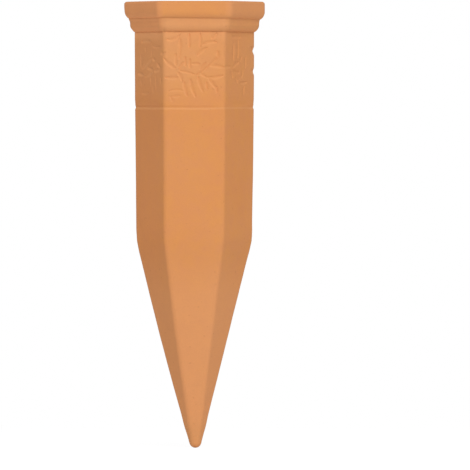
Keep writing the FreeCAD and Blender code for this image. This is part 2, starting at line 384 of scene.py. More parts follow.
def corner_bend(levels, places):
    """One over the disc's radius, but at most 1, on the columns of a corner's arc, and 0 elsewhere."""
    disc = levels[:, 2][:, None]
    return places["arc"] * (disc > 0) / np.maximum(disc, 1.0)


print("bend of the shaft's corners:", 1 / corner_round, "per millimetre")

# %% [markdown]
# A mesh is built from a grid in one go. Its columns close on themselves. A ring shaped section is a bent
# tube, so its rows close as well, and the body of the spike is a bag, closed at the tip and at the bottom
# of its hollow by a fan of triangles. The volume inside tells whether the faces point outwards: it would
# be negative otherwise. Every mesh also gets a mark named ledge, the upward part of each point's normal,
# which tells where up-facing surfaces get a painted highlight.

# %% Mesh from a grid
sharp_angle = math.radians(50)
per_cubic_centimetre = 1000
pieces = {}


def enclosed(points, triangles):
    """Volume inside closed faces: the sum over their triangles of a sixth of p1 . (p2 x p3)."""
    first, second, third = (points[triangles[:, n]] for n in range(3))
    return np.einsum("ij,ij->", first, np.cross(second, third)) / 6


def make_piece(name, grid, marks, ends=()):
    """Piece whose rows run up the outside and down the inside, so that its faces point outwards.

    The number of a grid point is its row times the number of columns plus its column. A face joins a point,
    its right neighbour, the point above that one and its own upper neighbour. Marks are grids of values by
    name, which become attributes. Ends are the two points of a bag.
    """
    row_count, column_count = grid.shape[:2]
    number = np.arange(row_count * column_count).reshape(row_count, column_count)
    lower, upper = (number[:-1], number[1:]) if ends else (number, np.roll(number, -1, axis=0))
    quads = np.stack([lower, np.roll(lower, -1, 1), np.roll(upper, -1, 1), upper], -1).reshape(-1, 4)
    points = np.concatenate([grid.reshape(-1, 3), *(np.array(end)[None] for end in ends)])
    fans = np.zeros((0, 3), int)
    if ends:
        end = np.full(column_count, row_count * column_count)
        low, top = number[0], number[-1]
        fans = np.concatenate([
            np.stack([end, np.roll(low, -1), low], -1),
            np.stack([end + 1, top, np.roll(top, -1)], -1),
        ])
    mesh = bpy.data.meshes.new(name)
    mesh.from_pydata((points * millimetre).tolist(), [], quads.tolist() + fans.tolist())
    mesh.shade_smooth()
    mesh.set_sharp_from_angle(angle=sharp_angle)
    normals = np.zeros(3 * len(points), np.float32)
    mesh.vertices.foreach_get("normal", normals)
    marks = {label: np.append(values.ravel(), np.zeros(len(ends))) for label, values in marks.items()}
    marks["ledge"] = normals[2::3]
    for label, values in marks.items():
        attribute = mesh.attributes.new(label, "FLOAT", "POINT")
        attribute.data.foreach_set("value", values.astype(np.float32))
    pieces[name] = placed(name, mesh)
    triangles = np.concatenate([quads[:, [0, 1, 2]], quads[:, [0, 2, 3]], fans])
    volume = enclosed(points, triangles) / per_cubic_centimetre
    print(name, "has", len(triangles), "triangles and", round(volume, 2), "cubic centimetres of clay")


# %% [markdown]
# All four sections are put together in the same way. The levels of the outer wall and of the inner wall are
# joined to one list, the skin is spread over the columns, and the outer wall alone is moved in and out by
# its unevenness. The faults of the whole body come last, so that they move the inner wall as well.

# %% Section from two walls
def make_section(name, outside, inside, places, share=1, inward=0, marks=None, ends=()):
    """Section from the levels of its outer and inner wall.

    The outer wall stands out by a share of the unevenness, less how far it is set or pressed in.
    """
    levels = np.concatenate([outside, inside])
    grid = skin(levels, places)
    bend = profile_bend(levels)[:, None] + corner_bend(levels, places)
    if ends:
        bend[[0, -1]] = 0
    outer = grid[:len(outside)]
    outer[..., :2] += (share * unevenness(outer) - inward)[..., None] * places["outward"]
    make_piece(name, leaned(grid), {"bend": bend, **(marks or {})}, ends)


print("pieces so far:", len(pieces))

# %% [markdown]
# The mouth has two rolls. The large one at the top is a straight band with a rounded top edge, and both
# rolls tuck under along the same arc of 3.2 mm, like a half round moulding. Inside, each section is
# lapped into the one below it by a low ring round the bore. The rows go up the outer wall, in over the
# top, down the bore, and back under the section to where they started. The rolls reach furthest out, so
# they stand back by another 0.06 mm, which keeps them inside the box of the CAD model.

# %% Rolls of the mouth
roll_radius = 3.2
roll_sweep = math.radians(62.5)
roll_steps = 9
top_edge_round = 1.1
mouth_flare = 1.0
lap_wall = 1.8
slip_film = 0.15
rim_margin = 0.06
inside_pitch = 4.0
rim_pitch = 0.6


def tucked(widest, line):
    """Underside of a roll: points of an arc of the roll's radius, from the line up to its widest place."""
    angle = np.linspace(roll_sweep, 0, roll_steps + 1)
    inward = roll_radius * (1 - np.cos(angle))
    rise = roll_radius * (math.sin(roll_sweep) - np.sin(angle))
    return np.stack([widest - inward, line + rise], -1)


def lap(line, seat_line=None):
    """Inside of a section: seat for the ring of the section above, bore, and its own ring below the line."""
    radius = bore_radius + lap_wall
    path = []
    if seat_line is not None:
        seat = radius + slip_film
        path += [(seat, seat_line, 0), (seat, seat_line - lap_height, 0)]
        path += [(bore_radius, seat_line - lap_height, 0)]
    return path + [(bore_radius, line - lap_height, 0), (radius, line - lap_height, 0), (radius, line, 0)]


def make_top_rim():
    """Large roll: the tucked underside, a straight side, a rounded top edge and a softly flared mouth."""
    roll = tucked(top_rim_reach, rolls_line)
    edge = softened([
        (*roll[-1], 0),
        (top_rim_reach, height, top_edge_round),
        (top_rim_reach - 3 * top_edge_round, height, 0),
    ], rim_pitch)
    outside = six_sided(np.concatenate([roll[:-1], edge]), rim_corner_round)
    mouth = softened([
        (bore_radius + 3 * mouth_flare, height, 0),
        (bore_radius + mouth_flare, height, mouth_flare),
        (bore_radius, height - mouth_flare, mouth_flare),
        (bore_radius, height - 3 * mouth_flare, 0),
    ], rim_pitch)
    inside = round_wall(np.concatenate([mouth[:-1], softened(lap(rolls_line), inside_pitch)]))
    make_section("top_rim_clay", outside, inside, rim_columns, inward=rim_margin)


def make_lower_rim():
    """Small roll: the same underside, and a side that flares with the square of its height."""
    reach = band_top_reach + top_rim_reach - lower_rim_top_reach
    roll = tucked(reach, band_top)
    rise = np.linspace(0, 1, roll_steps)[1:, None]
    flare = roll[-1] + rise * (0, rolls_line - roll[-1, 1]) + rise ** 2 * (lower_rim_top_reach - reach, 0)
    outside = six_sided(np.concatenate([roll, flare]), rim_corner_round)
    inside = round_wall(softened(lap(band_top, rolls_line), inside_pitch))
    make_section("lower_rim_clay", outside, inside, rim_columns, inward=rim_margin)


make_top_rim()
make_lower_rim()

# %% [markdown]
# The band under the rolls is pressed all round with twigs and narrow leaves. They are sunk into the clay:
# where the light comes from above, the upper wall of each leaf is dark and its lower wall is bright. A
# bump in the material would fake that, but the leaves that reach round a corner also notch the outline,
# so they are cut into the mesh. The columns stand less than a quarter of a millimetre apart for that.
#
# The twigs and leaves are listed face by face. A row gives the stem end and the point of a leaf, across
# the face from its middle in widths of the face and up the band in shares of its height, and how far the
# leaf bows to the left of its own direction in shares of its length. The front face is pressed most
# firmly. The side faces are pressed less, and the twigs of the left face and a few marks low on the front
# are faint. The two broad leaves at the right corner have a width and a depth of their own at the ends of
# their rows.

# %% Leaves and twigs of three neighbouring faces
leaf_width, leaf_depth = 2.3, 0.36
twig_width, twig_depth = 1.7, 0.36
faint_width, faint_depth = 1.6, 0.22
left_firmness, right_firmness = 0.75, 0.6

front_leaves = [
    (-0.31, 0.51, -0.52, 0.65, 0.04),
    (-0.30, 0.55, -0.30, 0.71, 0.05),
    (-0.26, 0.63, -0.25, 0.80, -0.04),
    (-0.23, 0.76, -0.23, 0.91, 0.03),
    (-0.27, 0.46, -0.20, 0.34, 0.04),
    (-0.27, 0.39, -0.50, 0.39, 0.03),
    (-0.175, 0.34, -0.115, 0.14, -0.04),
    (-0.065, 0.37, 0.035, 0.12, -0.06),
    (0.065, 0.40, 0.155, 0.19, -0.05),
    (0.24, 0.37, 0.36, 0.24, 0.04),
    (0.21, 0.39, 0.50, 0.42, -0.05),
    (0.25, 0.55, 0.51, 0.52, 0.04),
    (0.25, 0.55, 0.39, 0.67, -0.05),
    (0.04, 0.68, 0.22, 0.79, 0.05),
    (0.13, 0.82, 0.38, 0.86, 0.10),
    (0.28, 0.90, 0.39, 0.98, 0.04),
    (-0.46, 0.90, -0.24, 0.96, -0.18),
    (0.40, 0.66, 0.39, 0.75, 0.05),
]
front_twigs = [
    (-0.05, 0.57, 0.10, 0.57, 0.03),
    (-0.25, 0.48, 0.01, 0.43, 0.02),
    (0.03, 0.42, 0.25, 0.56, -0.06),
    (0.10, 0.45, 0.22, 0.39, -0.04),
    (0.10, 0.49, 0.20, 0.59, 0.03),
    (-0.26, 0.49, -0.17, 0.60, 0.05),
    (-0.08, 0.79, -0.08, 0.98, 0.02),
    (0.10, 0.79, 0.10, 0.98, -0.02),
    (-0.14, 0.54, -0.15, 0.67, 0.03),
    (-0.07, 0.51, -0.07, 0.64, 0.03),
    (0.20, 0.33, 0.21, 0.23, 0.03),
    (0.36, 0.28, 0.38, 0.18, 0.04),
]
front_faint = [
    (-0.18, 0.21, -0.44, 0.20, -0.10),
    (-0.23, 0.15, -0.41, 0.14, 0.05),
    (-0.40, 0.14, -0.37, 0.07, 0.06),
]
right_leaves = [
    (-0.50, 0.52, -0.30, 0.53, 0.05),
    (-0.22, 0.62, -0.20, 0.86, 0.03),
    (-0.07, 0.65, -0.07, 0.90, -0.03),
    (-0.27, 0.93, 0.03, 0.93, 0.02),
    (-0.22, 0.53, -0.02, 0.60, 0.06),
    (-0.22, 0.48, 0.00, 0.46, -0.04),
    (-0.14, 0.45, 0.03, 0.37, -0.06),
    (-0.30, 0.48, -0.23, 0.38, 0.05),
    (0.14, 0.16, 0.15, 0.28, 0.12),
    (0.18, 0.52, 0.20, 0.68, 0.04),
    (-0.14, 0.39, -0.08, 0.31, 0.05),
]
right_twigs = [
    (0.02, 0.60, 0.06, 0.68, 0.05),
    (0.06, 0.38, 0.10, 0.50, -0.05),
    (0.00, 0.32, 0.25, 0.34, -0.04),
]
left_leaves = [
    (0.10, 0.65, -0.24, 0.51, 0.04),
    (0.11, 0.65, 0.21, 0.60, 0.04),
    (0.14, 0.48, -0.13, 0.40, 0.04),
    (-0.05, 0.52, 0.13, 0.49, 0.04),
    (0.15, 0.48, 0.40, 0.50, -0.04),
    (0.27, 0.57, 0.40, 0.49, 0.04),
    (-0.25, 0.87, 0.07, 0.87, 0.03),
    (0.40, 0.70, 0.53, 0.72, 0.03),
    (-0.36, 0.44, -0.18, 0.42, 0.05),
]
left_twigs = [
    (0.10, 0.66, 0.10, 0.75, 0.03),
    (-0.26, 0.53, -0.26, 0.71, 0.03),
    (0.12, 0.81, 0.38, 0.80, -0.05),
    (-0.25, 0.19, 0.00, 0.19, -0.04),
    (0.06, 0.40, 0.06, 0.29, 0.03),
    (0.24, 0.42, 0.24, 0.25, -0.02),
    (0.38, 0.40, 0.39, 0.31, 0.04),
    (0.14, 0.27, 0.14, 0.18, 0.03),
    (-0.12, 0.80, -0.11, 0.73, 0.03),
    (-0.27, 0.36, -0.26, 0.28, 0.03),
]
# Broad leaves that reach round the corner at the far right
corner_leaves = [
    (0.37, 0.79, 0.64, 0.69, 0.03, 3.8, 0.58),
    (0.37, 0.49, 0.64, 0.45, 0.03, 3.6, 0.42),
]


def strokes():
    """All strokes as rows of place, height, place, height, bow, width and depth, with three faces repeated.

    A face's place is its middle, in sides from the corner on the X axis, counter-clockwise from above.
    """
    left, front, right = 3.5, 4.5, 5.5
    groups = [
        (left, left_leaves, leaf_width, leaf_depth * left_firmness),
        (left, left_twigs, twig_width, faint_depth * left_firmness),
        (front, front_leaves, leaf_width, leaf_depth),
        (front, front_twigs, twig_width, twig_depth),
        (front, front_faint, faint_width, faint_depth),
        (right, right_leaves, leaf_width, leaf_depth * right_firmness),
        (right, right_twigs, twig_width, twig_depth * right_firmness),
    ]
    rows = [(right + start, low, right + end, *rest) for start, low, end, *rest in corner_leaves]
    for middle, pressed, width, depth in groups:
        for face in (middle, (middle + sides / 2) % sides):
            for start, low, end, *rest in pressed:
                rows.append((face + start, low, face + end, *rest, width, depth))
    return np.array(rows)


print("strokes round the band:", len(strokes()))

# %% [markdown]
# A leaf is a curve with a width. Its middle line is a quadratic curve, cut into eight straight pieces.
# For every point of the wall near it, the nearest of the pieces says how far the point is from the line
# and how far along the leaf it is. The width swells from the stem and narrows to the point, and the wall
# of the leaf falls from its edge to its middle like half a cosine wave, so nothing about it is sharp.
# Where two leaves meet, a high power of their depths is added and the root taken again, which rounds the
# place where they run together.

# %% Pressed relief
line_pieces = 8
join_power = 5
swell_power, blunt_power = 0.8, 0.5
least_half_width = 0.001
place_margin = 0.1
side_length = shaft_reach - corner_round + corner_round * math.radians(side_angle)
band_height = band_top - groove_line


def stroke_depth(across, up, stroke):
    """Depth of one stroke at points of the unrolled band, in millimetres.

    The middle line at t is (1 - t)^2 times its start, 2 t (1 - t) times its bowed middle and t^2 times its
    end. The foot of a point on a piece is at (point - start) . run / run . run, kept between 0 and 1. The
    half width at t is half the width times the root of the sine of pi t^0.8, and the depth goes with half of
    1 + cos(pi distance / half width).
    """
    start, end = stroke[:2], stroke[2:4]
    leaf_bow, width, depth = stroke[4:]
    run = end - start
    middle = (start + end) / 2 + 2 * leaf_bow * np.array([-run[1], run[0]])
    t = np.linspace(0, 1, line_pieces + 1)[:, None]
    line = (1 - t) ** 2 * start + 2 * t * (1 - t) * middle + t ** 2 * end
    piece_start, piece_run = line[:-1, None, None], np.diff(line, axis=0)[:, None, None]
    point = np.stack([across, up], -1)[None]
    foot = ((point - piece_start) * piece_run).sum(-1) / (piece_run ** 2).sum(-1)
    foot = np.clip(foot, 0, 1)
    distance = np.linalg.norm(point - piece_start - foot[..., None] * piece_run, axis=-1)
    nearest = distance.argmin(0)[None]
    distance = np.take_along_axis(distance, nearest, 0)[0]
    along = (nearest[0] + np.take_along_axis(foot, nearest, 0)[0]) / line_pieces
    half = np.maximum(width / 2 * np.sin(math.pi * along ** swell_power) ** blunt_power, least_half_width)
    return depth * (1 + np.cos(math.pi * np.minimum(distance / half, 1))) / 2


def relief(places, z):
    """Depth of the whole pattern on the band's grid: the fifth root of the sum of the depths' fifth powers.

    Each stroke is only worked out on the columns near it.
    """
    total = np.zeros((len(z), len(places["place"])))
    for stroke in strokes():
        offset = (places["place"] - stroke[0] + sides / 2) % sides - sides / 2
        low, high = sorted((0, stroke[2] - stroke[0]))
        near = np.flatnonzero((offset > low - place_margin) & (offset < high + place_margin))
        flat = stroke.copy()
        flat[[0, 2]] = 0, (stroke[2] - stroke[0]) * side_length
        flat[[1, 3]] *= band_height
        across, up = np.meshgrid(offset[near] * side_length, z - groove_line)
        total[:, near] += stroke_depth(across, up, flat) ** join_power
    return total ** (1 / join_power)


print("the unrolled band is", round(sides * side_length, 1), "mm long and", round(band_height, 1), "mm high")

# %% [markdown]
# The band is a skin like the rolls, with closer columns and levels. Its wall starts in the V groove, and
# each of its points is moved in by the depth of the relief. Two more marks tell the clay's colour about
# the relief. The one named pressed is the depth in shares of a leaf's depth. The one named rightward says
# how steeply a wall faces the right, which is painted paler as a highlight of the light from the right.

# %% Leaf band
groove_width, groove_depth = 1.8, 0.3
groove_soft = 0.4
band_pitch = 0.25
least_depth = 0.05


def rightward_slope(depth, z):
    """How steeply the walls of the strokes face the right: the depth's slope along the outline.

    The slope sets a painted highlight. Where a wall also faces down, its slope up the band is taken off,
    because it stays in the shade.
    """
    to_right = np.gradient(depth, band_columns["place"] * side_length, axis=1)
    to_top = np.gradient(depth, z, axis=0)
    return to_right + np.minimum(to_top, 0)


def make_leaf_band():
    """Band: the upper slope of the V groove, the pressed wall, and the inside with a seat for the roll."""
    foot_reach = shaft_reach + groove_width / 2 * (band_top_reach - shaft_reach) / band_height
    outside = six_sided(softened([
        (shaft_reach - groove_depth, groove_line, 0),
        (foot_reach, groove_line + groove_width / 2, groove_soft),
        (band_top_reach, band_top, 0),
    ], band_pitch), corner_round)
    inside = round_wall(softened(lap(groove_line, band_top), inside_pitch))
    depth = relief(band_columns, outside[:, 0])
    pressed_share = (depth > least_depth).mean()
    print("deepest leaf", round(depth.max(), 2), "mm, pressed share of the wall", round(pressed_share, 2))
    inner_rows = ((0, len(inside)), (0, 0))
    make_section("leaf_band_clay", outside, inside, band_columns, inward=depth, marks={
        "pressed": np.pad(depth / leaf_depth, inner_rows),
        "rightward": np.pad(rightward_slope(depth, outside[:, 0]), inner_rows),
    })


make_leaf_band()

# %% [markdown]
# The body is the part that goes into the soil. Its shaft narrows by less than a degree, bends softly a
# good third of the way up, and runs as a straight taper into a round tip. The taper has to touch the ball
# of the tip without a kink. From the bend's corner, the line that touches a ball leaves the line to its
# centre by the angle whose sine is the ball's radius over that distance. The ridges fade near the tip
# because the disc that rolls round the outline takes up more and more of it there.

# %% Outside of the body
shaft_draft = math.radians(0.7)
bend_height = 79.7
bend_radius = 36.0
tip_radius = 2.33
tip_roundness_share = 0.9
tip_steps = 12
body_pitch = 1.6
slope_foot = groove_line - groove_width / 2
bend_reach = shaft_reach - (slope_foot - bend_height) * math.tan(shaft_draft)
bend_rise = bend_height - tip_radius
taper = math.atan2(bend_reach, bend_rise) - math.asin(tip_radius / math.hypot(bend_reach, bend_rise))


def ball_arc(radius, centre_z, first, last):
    """Points of an arc about a place on the axis, from one angle below the level to another."""
    angle = np.linspace(first, last, tip_steps + 1)
    return np.stack([radius * np.cos(angle), centre_z - radius * np.sin(angle)], -1)


tip = ball_arc(tip_radius, tip_radius, math.pi / 2, taper)[1:]
tip_reach, tip_end = tip[-1]


def body_outside():
    """Levels of the outside: the ball of the tip, the taper, the bend, the shaft and half of the groove.

    The disc's radius is a share of the reach on the ball. From there to the bend it goes evenly, with the
    reach, to the radius of the shaft's corners.
    """
    wall = softened([
        (*tip[-1], 0),
        (bend_reach, bend_height, bend_radius),
        (shaft_reach, slope_foot, groove_soft),
        (shaft_reach - groove_depth, groove_line, 0),
    ], body_pitch)
    share = np.clip((wall[:, 0] - tip_reach) / (bend_reach - tip_reach), 0, 1)
    rounding = tip_reach * tip_roundness_share * (1 - share) + corner_round * share
    ball = six_sided(tip[:-1], tip[:-1, 0] * tip_roundness_share)
    return np.concatenate([ball, six_sided(wall, rounding)])


print("taper of", round(math.degrees(taper), 2), "degrees, from", round(tip_end, 2), "mm up")

# %% [markdown]
# Inside, the bore runs into a cone that keeps the clay of the taper 3.8 mm thick and ends in a small
# ball: that is the room for the water. Little of it shows through the mouth, but without it the spike
# would be a solid block. The cone is the line through two radii, each of them the distance to a flat side
# less the wall.

# %% Hollow of the body
taper_wall = 3.8
hollow_end_radius = 1.2
cone_top_round = 30.0


def flat_distance(reach, disc):
    """Distance from the axis to a flat side: that of the small hexagon's side, plus the disc's radius."""
    return (reach - disc) * math.cos(math.radians(side_angle / 2)) + disc


top_radius = flat_distance(bend_reach, corner_round) - taper_wall
foot_radius = flat_distance(tip_reach, tip_reach * tip_roundness_share) - taper_wall
cone_spread = (top_radius - foot_radius) / (bend_height - tip_end)
cone_top = bend_height + (bore_radius - top_radius) / cone_spread
cone_foot = bend_height - (top_radius - hollow_end_radius) / cone_spread


def body_inside():
    """Levels of the inside: the seat for the band's ring, the bore, the cone and the ball at its end."""
    seat = bore_radius + lap_wall + slip_film
    end_ball = ball_arc(hollow_end_radius, cone_foot, 0, math.pi / 2)[:-1]
    wall = softened([
        (seat, groove_line, 0),
        (seat, groove_line - lap_height, 0),
        (bore_radius, groove_line - lap_height, 0),
        (bore_radius, cone_top, cone_top_round),
        (*end_ball[0], 0),
    ], inside_pitch)
    return round_wall(np.concatenate([wall[:-1], end_ball]))


print("the cone starts", round(cone_top, 1), "mm up and ends", round(cone_foot, 1), "mm up")

# %% [markdown]
# This skin is a bag: its two ends are points on the axis. The unevenness fades towards the tip, because
# the columns come together there and would be crushed by it.

# %% Spike body
firm_height = 15.0


def make_spike_body():
    """Body: from the tip up the outside to the groove, over the seat, and down the hollow to its end."""
    outside = body_outside()
    fade = np.clip(outside[:, 0] / firm_height, 0, 1)[:, None]
    ends = leaned(np.array([(0.0, 0.0, 0.0), (0.0, 0.0, cone_foot - hollow_end_radius)]))
    make_section("spike_body_clay", outside, body_inside(), body_columns, share=fade, ends=list(ends))


make_spike_body()

# %% [markdown]
# The finish is a recipe of shader nodes. Written out node by node, a sum of two noises takes a page, so a
# socket is wrapped in a small class: adding, multiplying or subtracting wrapped sockets adds the Math
# nodes and returns the new output, also where the number stands first, as in 1 - mask.

# %% Sockets in sums
class Amount:
    """The output of a node, which can be used in sums like a number."""

    def __init__(self, recipe, socket):
        self.recipe = recipe
        self.socket = socket

    def worked(self, operation, first, second):
        """The result of a new Math node on two amounts or numbers."""
        return self.recipe.node("ShaderNodeMath", {"operation": operation}, {0: first, 1: second})

    def __add__(self, other):
        return self.worked("ADD", self, other)

    def __radd__(self, other):
        return self.worked("ADD", other, self)

    def __sub__(self, other):
        return self.worked("SUBTRACT", self, other)

    def __rsub__(self, other):
        return self.worked("SUBTRACT", other, self)

    def __mul__(self, other):
        return self.worked("MULTIPLY", self, other)

    def __rmul__(self, other):
        return self.worked("MULTIPLY", other, self)


print("an amount can be added, subtracted and multiplied")

# %% [markdown]
# Every other node comes from one method, which takes the type of the node, its settings, and the values
# or links of its sockets. The methods after it are the few kinds of node that the clay needs again and
# again.

# %% Node trees
class Recipe:
    """The node tree of a material or of the world."""

    def __init__(self, owner):
        owner.use_nodes = True
        self.tree = owner.node_tree
        self.tree.nodes.clear()

    def node(self, kind, settings=None, values=None, output=0):
        """Adds a node, first with its settings, then with the values or links of its sockets.

        Returns one of its outputs, or the node itself if it has none.
        """
        made = self.tree.nodes.new(kind)
        for name, setting in (settings or {}).items():
            setattr(made, name, setting)
        for name, value in (values or {}).items():
            if isinstance(value, Amount):
                self.tree.links.new(value.socket, made.inputs[name])
            else:
                made.inputs[name].default_value = value
        return Amount(self, made.outputs[output]) if made.outputs else made

    def mark(self, name):
        """The piece's own attribute of this name, as one number."""
        return self.node("ShaderNodeAttribute", {"attribute_name": name}, output=2)

    def axis(self, place, number):
        """One coordinate of a place: 0 is x, 1 is y and 2 is z."""
        return self.node("ShaderNodeSeparateXYZ", None, {0: place}, output=number)

    def noise(self, place, size, detail=2.0, roughness=0.5):
        """Noise around 0, mostly between -0.5 and 0.5, with blotches about one size across, in metres."""
        values = {"Vector": place, "Scale": 1 / size, "Detail": detail, "Roughness": roughness}
        return self.node("ShaderNodeTexNoise", {"noise_dimensions": "3D"}, values) - 0.5

    def between(self, amount, low, high):
        """Smooth step: 0 where the amount is under low, 1 where it is over high."""
        values = {"Value": amount, "From Min": low, "From Max": high}
        return self.node("ShaderNodeMapRange", {"interpolation_type": "SMOOTHSTEP"}, values)

    def blended(self, share, first, second):
        """Colour between two colours. A Mix node has sockets for each kind of value: 6 and 7 are colours."""
        values = {0: share, 6: first, 7: second}
        return self.node("ShaderNodeMix", {"data_type": "RGBA"}, values, output=2)

    def scaled(self, colour, amount):
        """Colour times an amount, by Vector Math, because a Math node would turn it grey."""
        return self.node("ShaderNodeVectorMath", {"operation": "SCALE"}, {0: colour, "Scale": amount})


print("a recipe has", len([name for name in vars(Recipe) if not name.startswith("_")]), "kinds of step")

# %% [markdown]
# Fired terracotta is one warm orange all over, so the finish lives from small differences. The base is
# the colour that the CAD record gives to the slot, and every difference is a tint of it. Some places are
# paler or redder than the rest: the bleached taper, the bloom above the groove, the rolls, the side
# faces. An image texture could carry them, but a mask worked out from the heights and sides of Object
# coordinates stays sharp at any size, and its edges can be read here. Left and right mean the two side
# faces in front. The back can't be seen in the photograph, so the masks of the sides leave it out and it
# has the plainer clay.

# %% Places on the spike
slot_name = "terracotta"
clay_colour = next(m["base_color"] for m in frame["record"]["materials"] if m["slot"] == slot_name)
# Edges of the masks in metres: each mask is 0 at the first number and 1 at the second
side_edge = (0.011, 0.015)
back_edge = (-0.004, -0.001)
nose_edge = (0.004, 0.014)
taper_edge = (0.050, 0.082)
groove_edge = (0.129, 0.147)
band_end_edge = (0.1555, 0.1600)
# Where the painted highlight on up-facing surfaces ends, below the rolls
up_light_end_edge = (0.158, 0.162)
left_rolls_edge = (0.159, 0.162)
rolls_edge = (0.1600, 0.1606)
top_roll_edge = (0.1645, 0.1675)


def tinted(red, green, blue):
    """The clay's colour with each channel multiplied, as the four numbers that a colour socket takes."""
    return (clay_colour[0] * red, clay_colour[1] * green, clay_colour[2] * blue, 1.0)


class Places:
    """Masks over the spike, each 1 in the place that it is named after and 0 elsewhere, with soft edges."""

    def __init__(self, clay, place):
        x, y, z = (clay.axis(place, number) for number in range(3))
        in_front = clay.between(0 - y, *back_edge)
        self.left = in_front * clay.between(0 - x, *side_edge)
        self.right = in_front * clay.between(x, *side_edge)
        self.middle = 1 - self.left - self.right
        self.nose = 1 - clay.between(z, *nose_edge)
        self.taper = 1 - clay.between(z, *taper_edge)
        self.above_groove = clay.between(z, *groove_edge)
        self.below_rolls = 1 - clay.between(z, *up_light_end_edge)
        self.rolls = clay.between(z, *rolls_edge)
        self.band_end = clay.between(z, *band_end_edge) * (1 - self.rolls)
        self.left_rolls = self.left * clay.between(z, *left_rolls_edge)
        self.top_roll = clay.between(z, *top_roll_edge)
        self.small_roll = self.rolls - self.top_roll


print("the clay's colour in the record:", clay_colour)

# %% [markdown]
# A layer is a share and a tint, and the tints are blended in one after the other, like thin washes of
# slip. The left face is a little redder. The kiln left a bloom on the clay above the groove, and the taper
# is paler, but its nose less: partly bleached clay, and partly painted light in place of the light from
# below. Of the large roll, the middle is a little yellower and the right paler. The small roll is paler in
# the middle. Both rolls are painted paler at the left, and so are their undersides, mostly at the left, and
# the end of the band: this is painted light, which takes away the shade round the rolls.
#
# Up-facing surfaces below the rolls, the walls of the strokes that face the right, and the strokes of the
# left face are painted paler, as painted highlights for the light from above and from the right. Edges are
# rubbed a little paler, and creases are slightly darker. These places come from the marks of the mesh,
# because no texture knows where a leaf was pressed.

# %% Layers of colour
upward_edge = (0.03, 0.45)
downward_edge = (0.15, 0.7)
pressed_edge = (0.1, 0.8)
rightward_edge = (0.08, 0.45)
rubbed_edge = (0.35, 1.8)
crease_dark_edge = (0.3, 2.5)


def kiln_and_painted_light_layers(at, kiln):
    """Shares and tints of the kiln and of painted light, by the places on the spike and the noise of the
    kiln.
    """
    bloom = at.above_groove - at.top_roll * (0.6 - at.right * 0.6)
    return [
        (at.left * 0.5, (1.055, 0.985, 1.03)),
        (bloom * (0.42 - at.right * (1 - at.rolls) * 0.12 + kiln * 0.5), (1.035, 1.17, 1.42)),
        # The taper is paler: partly bleached clay, partly painted light for the light from below.
        (at.taper * (0.7 + kiln * 0.3), (1.10, 1.16, 1.38)),
        (at.nose * 0.5, (1.0, 1.12, 1.20)),
        (at.top_roll * at.middle * 0.3, (1.06, 1.03, 0.80)),
        (at.top_roll * at.right * 0.35, (1.12, 1.08, 1.25)),
        (at.small_roll * at.middle * 0.25, (1.02, 1.16, 1.50)),
        # Painted light: both rolls are paler at the left, in place of the shade round them there.
        (at.left_rolls * 0.8, (1.14, 1.15, 1.32)),
    ]


def painted_light_layers(clay, at):
    """Shares and tints of painted light on undersides, ledges and strokes, by the places and the marks of
    the mesh.
    """
    ledge = clay.mark("ledge")
    upward = clay.between(ledge, *upward_edge) * at.below_rolls
    downward = clay.between(0 - ledge, *downward_edge) * at.rolls
    pressed = clay.between(clay.mark("pressed"), *pressed_edge)
    rightward = clay.between(clay.mark("rightward"), *rightward_edge)
    return [
        # Painted light: the undersides of the rolls are paler, mostly at the left, in place of their shade.
        (downward * (at.left + at.right * 0.3), (1.30, 1.34, 1.56)),
        # Painted light: the end of the band under the rolls is paler, most at the left, in place of the
        # shade there.
        (at.band_end * (at.left * 0.8 - at.right * 0.2 + 0.2), (1.22, 1.34, 1.60)),
        # Painted highlight: surfaces that face up, below the rolls, are paler, as if lit from above.
        (upward * 0.5, (1.10, 1.24, 1.42)),
        # Painted highlight: the strokes of the left face are paler, in place of their lit walls.
        (pressed * at.left * 0.6, (1.14, 1.26, 1.50)),
        # Painted highlight: walls of the strokes that face the right are paler, less on the left face.
        (rightward * (0.38 - at.left * 0.25), (1.16, 1.28, 1.50)),
    ]


def wear_and_crease_layers(clay):
    """Shares and tints of rubbed edges and of darker creases, by the bend of the surface."""
    bend = clay.mark("bend")
    return [
        (clay.between(bend, *rubbed_edge) * 0.16, (1.10, 1.16, 1.25)),
        # Darker in creases, where the surface bends inwards.
        (clay.between(0 - bend, *crease_dark_edge) * 0.1, (0.80, 0.72, 0.66)),
    ]


# The layers of dust in this print are painted light.
print("three kinds of layers: of the kiln, of dust and of wear")

# %% [markdown]
# The rest of the finish is noise. Broad clouds of a redder and a yellower clay come from the kiln, fine
# mottling from the grains of the clay, and a few dark specks from iron in it. The surface is dry, so the
# gloss is low and its roughness high, and a fine grain and small pores are added as bump.

# %% Terracotta
kiln_shift = (0.013, 0.02, 0.007)
cloud_edge = (-0.25, 0.25)
speck_edge = (0.21, 0.27)
pore_edge = (0.17, 0.25)
bump_distance = 0.00012


